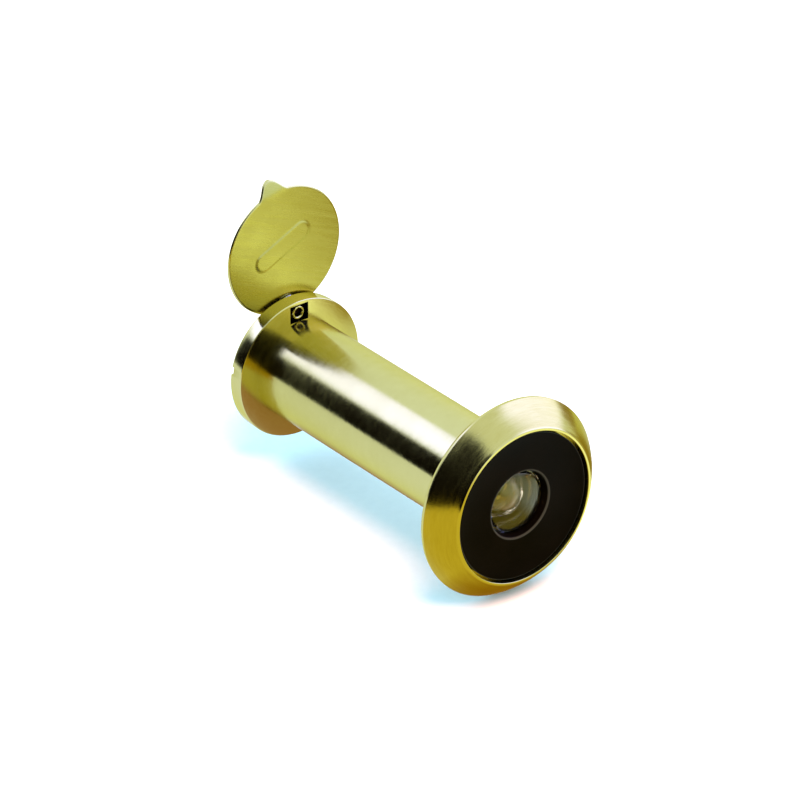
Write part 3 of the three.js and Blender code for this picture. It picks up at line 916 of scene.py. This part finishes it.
def plain_ring(name, node, body, finish, inner, up=0.0):
    """A ring with the outer size and place of its CAD node, `up` above the axis. Its finish is
    a slot's name, which is not used, and a material."""
    low, high = extents(node)
    outer = (high.x - low.x) / 2
    rounding = 0.05
    rows = closed([
        (outer, (low.y + high.y) / 2),
        (outer, high.y, rounding),
        (inner, high.y, rounding),
        (inner, low.y, rounding),
        (outer, low.y, rounding),
    ])
    piece = turned(name, rows, AROUND_SMALL, centre=(0, up))
    own(piece, body, node, *finish)


def plain_rings():
    steel = ("spring_steel", STEEL)
    rubber = ("gasket_rubber", RUBBER)
    black = ("black_plastic", BLACK)
    plain_ring("cover_washer_steel", "cover_spring_washer", "sleeve", steel, RIVET_HOLE_R, PIVOT.z)
    plain_ring("eyepiece_gasket_rubber", "eyepiece_gasket", "sleeve", rubber, EYE_APERTURE_R)
    plain_ring("objective_gasket_rubber", "objective_gasket", "bezel", rubber, STACK_BORE_R + 0.1)
    plain_ring("front_spacer_plastic", "front_spacer", "lens_stack", black, FRONT_SPACER_R)
    plain_ring("middle_spacer_plastic", "middle_spacer", "lens_stack", black, MIDDLE_SPACER_R)


# ---------------------------------------------------------------- stage, in metres


def direction(azimuth, elevation):
    """A unit vector that points `azimuth` degrees round from -Y towards +X, and up."""
    a, e = radians(azimuth), radians(elevation)
    return Vector((sin(a) * cos(e), -cos(a) * cos(e), sin(e)))


STUDIO_RADIUS = 4.0
NEAR_FLOOR = {"y": -22 * MM, "below": 0.0002, "size": 0.16}  # below the object's lowest point
FLOOR = {"size": 8.0, "below": 0.00002}
WORLD_COLOUR = colour(0.85, 1.5, 1.82)  # bluish, as the lamp's shadow shows it
PAPER_TONES = (colour(0.93, 0.93, 0.93), colour(0.9, 0.9, 0.9))
LAMP = {
    "azimuth": -12,
    "elevation": 60,
    "distance": 0.8,
    "size": 0.5,
    "colour": (1.0, 0.42, 0.25),
    "strength": 1.6,
}
CAMERA = {
    "azimuth": -38.24,
    "elevation": 29.13,
    "aim": Vector((1.07, -20.37, 3.5)) * MM,
    "distance": 0.7901,
    "lens": 270,
}

# What shines into the brass: colours of light, where 1 shows as white
SKY = Vector((1.05, 1.3, 2.6))
FLOOR_BEHIND = Vector((1.0, 1.22, 2.3))
FLOOR_IN_FRONT = Vector((0.84, 0.74, 0.14))
FLOOR_TO_THE_RIGHT = Vector((1.15, 1.4, 1.6))
FLOOR_BRIGHTEST = Vector((1.5, 1.75, 1.9))
FLOOR_IN_SHADE = Vector((0.42, 0.33, 0.02))
FLOOR_BELOW = Vector((0.4, 0.2, 0.0))
SOFTBOX = Vector((1.85, 2.15, 8.5))
DARK_ROOM = Vector((0.006, 0.005, 0.008))
BROWN_SCREEN = Vector((0.43, 0.34, 0.08))

# Patches of the sphere: (lowest, highest, softness) by azimuth and by elevation, in degrees
SOFTBOX_BEHIND = ((-22, 24, 12), (31, 56, 10))
BEHIND = -156  # the azimuth from which SOFTBOX_BEHIND's is counted
SOFTBOX_BESIDE = ((44, 118, 34), (8, 62, 8))
BROWN_PATCH = ((91, 117, 8), (-26, 6, 4))

# Patches of the floor that the object darkens, in the same way by X and by Y in millimetres
UNDER_BARREL = ((-4, 14, 10), (-50, 4, 8))
UNDER_BEZEL = ((-9, 14, 7), (-49, -38, 6))

# The top edge of the dark room, as (azimuth, elevation) in degrees
DARK_TOP = [(-142, 28), (-118, 34), (-75, 50), (-45, 64), (-24, 60), (-14, 50), (-6, 40)]


def turn_between(a, b):
    """How many degrees azimuth a is round from azimuth b, from -180 to 180."""
    return (a - b + 180) % 360 - 180


def window(value, low, high, soft):
    """1 between low and high, and 0 beyond them, with edges `soft` wide."""
    rising = smooth(low - soft / 2, low + soft / 2, value)
    falling = 1 - smooth(high - soft / 2, high + soft / 2, value)
    return rising * falling


def patch(a, b, place):
    """1 inside a patch of two windows."""
    return window(a, *place[0]) * window(b, *place[1])


def dark_top(azimuth):
    """The elevation of the dark room's top edge at an azimuth."""
    for (a, low), (b, high) in zip(DARK_TOP, DARK_TOP[1:]):
        if a <= azimuth <= b:
            return low + (high - low) * (azimuth - a) / (b - a)
    return DARK_TOP[0][1] if azimuth < DARK_TOP[0][0] else DARK_TOP[-1][1]


def studio_light(azimuth, elevation):
    """The light that comes from a direction: sky, far floor, two soft boxes, a dark room on the
    left and a brown screen on the right."""
    ground = FLOOR_BEHIND.lerp(FLOOR_TO_THE_RIGHT, window(azimuth, 15, 105, 50))
    ground = ground.lerp(FLOOR_IN_FRONT, window(azimuth, -105, 15, 50))
    light = ground.lerp(SKY, smooth(-12, 2, elevation))
    behind = patch(turn_between(azimuth, BEHIND), elevation, SOFTBOX_BEHIND)
    beside = patch(azimuth, elevation, SOFTBOX_BESIDE)
    light = light.lerp(SOFTBOX, max(behind, beside * 0.97))
    light = light.lerp(BROWN_SCREEN, patch(azimuth, elevation, BROWN_PATCH))
    bottom = -16 + 10 * smooth(60, 130, -azimuth)
    left = window(azimuth, -146, -9, 8) * window(elevation, bottom, dark_top(azimuth), 7)
    return light.lerp(DARK_ROOM, left)


def floor_light(x, y):
    """What the floor near the object shows in the brass, at a place in millimetres."""
    ground = FLOOR_BEHIND.lerp(FLOOR_IN_FRONT, 1 - smooth(-47, -36, y))
    shade = smooth(9, 18, x + 0.55 * y)
    right = FLOOR_BRIGHTEST.lerp(FLOOR_IN_SHADE, shade)
    right = right.lerp(FLOOR_TO_THE_RIGHT, 0.65 * smooth(-32, -22, y))
    ground = ground.lerp(right, smooth(12, 20, x))
    below = max(patch(x, y, UNDER_BARREL), patch(x, y, UNDER_BEZEL))
    return ground.lerp(FLOOR_BELOW, 0.92 * below)


def glowing(name, mesh, light_at):
    """Makes a mesh shine with light_at(its vertex), only in reflections and through glass."""
    shades = mesh.attributes.new("light", "FLOAT_COLOR", "POINT")
    for vertex, shade in zip(mesh.vertices, shades.data):
        shade.color = (*light_at(vertex.co), 1.0)
    graph = Graph(name)
    shade = graph.add("Attribute", attribute_name="light").outputs["Color"]
    glow = graph.add("Emission", {"Color": shade}).outputs[0]
    graph.put(graph.tree.nodes["Material Output"].inputs["Surface"], glow)
    mesh.materials.append(graph.material)
    thing = new_object(name, mesh)
    thing.visible_camera = False
    thing.visible_diffuse = False
    thing.visible_shadow = False


def light_from_afar(place):
    away = place.normalized()
    return studio_light(degrees(atan2(away.x, -away.y)), degrees(asin(away.z)))


def studio():
    """A sphere round the object, and the floor near it, as the metal sees them."""
    sphere = bpy.data.meshes.new("studio")
    bm = bmesh.new()
    bmesh.ops.create_uvsphere(bm, u_segments=120, v_segments=80, radius=STUDIO_RADIUS)
    bmesh.ops.reverse_faces(bm, faces=bm.faces)
    bm.to_mesh(sphere)
    bm.free()
    glowing("studio", sphere, light_from_afar)

    near = bpy.data.meshes.new("near_floor")
    bm = bmesh.new()
    place = Matrix.Translation((0, NEAR_FLOOR["y"], cad_box[0][2] - NEAR_FLOOR["below"]))
    bmesh.ops.create_grid(bm, x_segments=80, y_segments=80, size=NEAR_FLOOR["size"], matrix=place)
    bm.to_mesh(near)
    bm.free()
    glowing("near_floor", near, lambda at: floor_light(at.x / MM, at.y / MM))


def key_light():
    """The lamp over the camera, which whitens the floor round the object's soft shadow."""
    light = bpy.data.lights.new("key_light", "AREA")
    light.shape = "DISK"
    light.size = LAMP["size"]
    light.color = LAMP["colour"]
    light.energy = LAMP["strength"] * pi**2 * LAMP["distance"] ** 2
    away = direction(LAMP["azimuth"], LAMP["elevation"])
    lamp = new_object("key_light", light)
    lamp.location = away * LAMP["distance"]
    lamp.rotation_euler = away.to_track_quat("Z", "Y").to_euler()
    lamp.visible_glossy = False
    lamp.visible_transmission = False


def floor():
    """Plain pale paper, which the metal doesn't see: near_floor stands in for it there."""
    size = FLOOR["size"]
    height = cad_box[0][2] - FLOOR["below"]
    mesh = bpy.data.meshes.new("floor")
    corners = [(x * size, y * size, height) for x, y in ((-1, -1), (1, -1), (1, 1), (-1, 1))]
    mesh.from_pydata(corners, [], [(0, 1, 2, 3)])
    graph = Graph("pale_paper", Roughness=0.95, Specular_IOR_Level=0.2)
    fibres = graph.noise(graph.place(), 900.0, 3.0, 0.6)
    tone = graph.mix(graph.between(fibres, 0.3, 0.7), *PAPER_TONES)
    graph.put(graph.shader.inputs["Base Color"], tone)
    mesh.materials.append(graph.material)
    paper = new_object("floor", mesh)
    paper.visible_glossy = False


def world():
    scene = bpy.context.scene
    scene.world = bpy.data.worlds.new("studio")
    scene.world.use_nodes = True
    background = scene.world.node_tree.nodes["Background"]
    background.inputs[0].default_value = WORLD_COLOUR
    background.inputs[1].default_value = 1.0
    scene.view_settings.view_transform = "Standard"


def camera():
    away = direction(CAMERA["azimuth"], CAMERA["elevation"])
    data = bpy.data.cameras.new("camera")
    data.lens = CAMERA["lens"]
    data.sensor_width = 36
    data.clip_start = 0.01
    data.clip_end = 20
    eye = new_object("camera", data)
    eye.location = CAMERA["aim"] + away * CAMERA["distance"]
    eye.rotation_euler = away.to_track_quat("Z", "Y").to_euler()
    bpy.context.scene.camera = eye


# ---------------------------------------------------------------- assembly

rear_sleeve()
retaining_ring()
eyepiece()
rivet()
cover()
front_body()
black_dish()
lenses()
field_stop()
plain_rings()

floor()
world()
camera()
studio()
key_light()
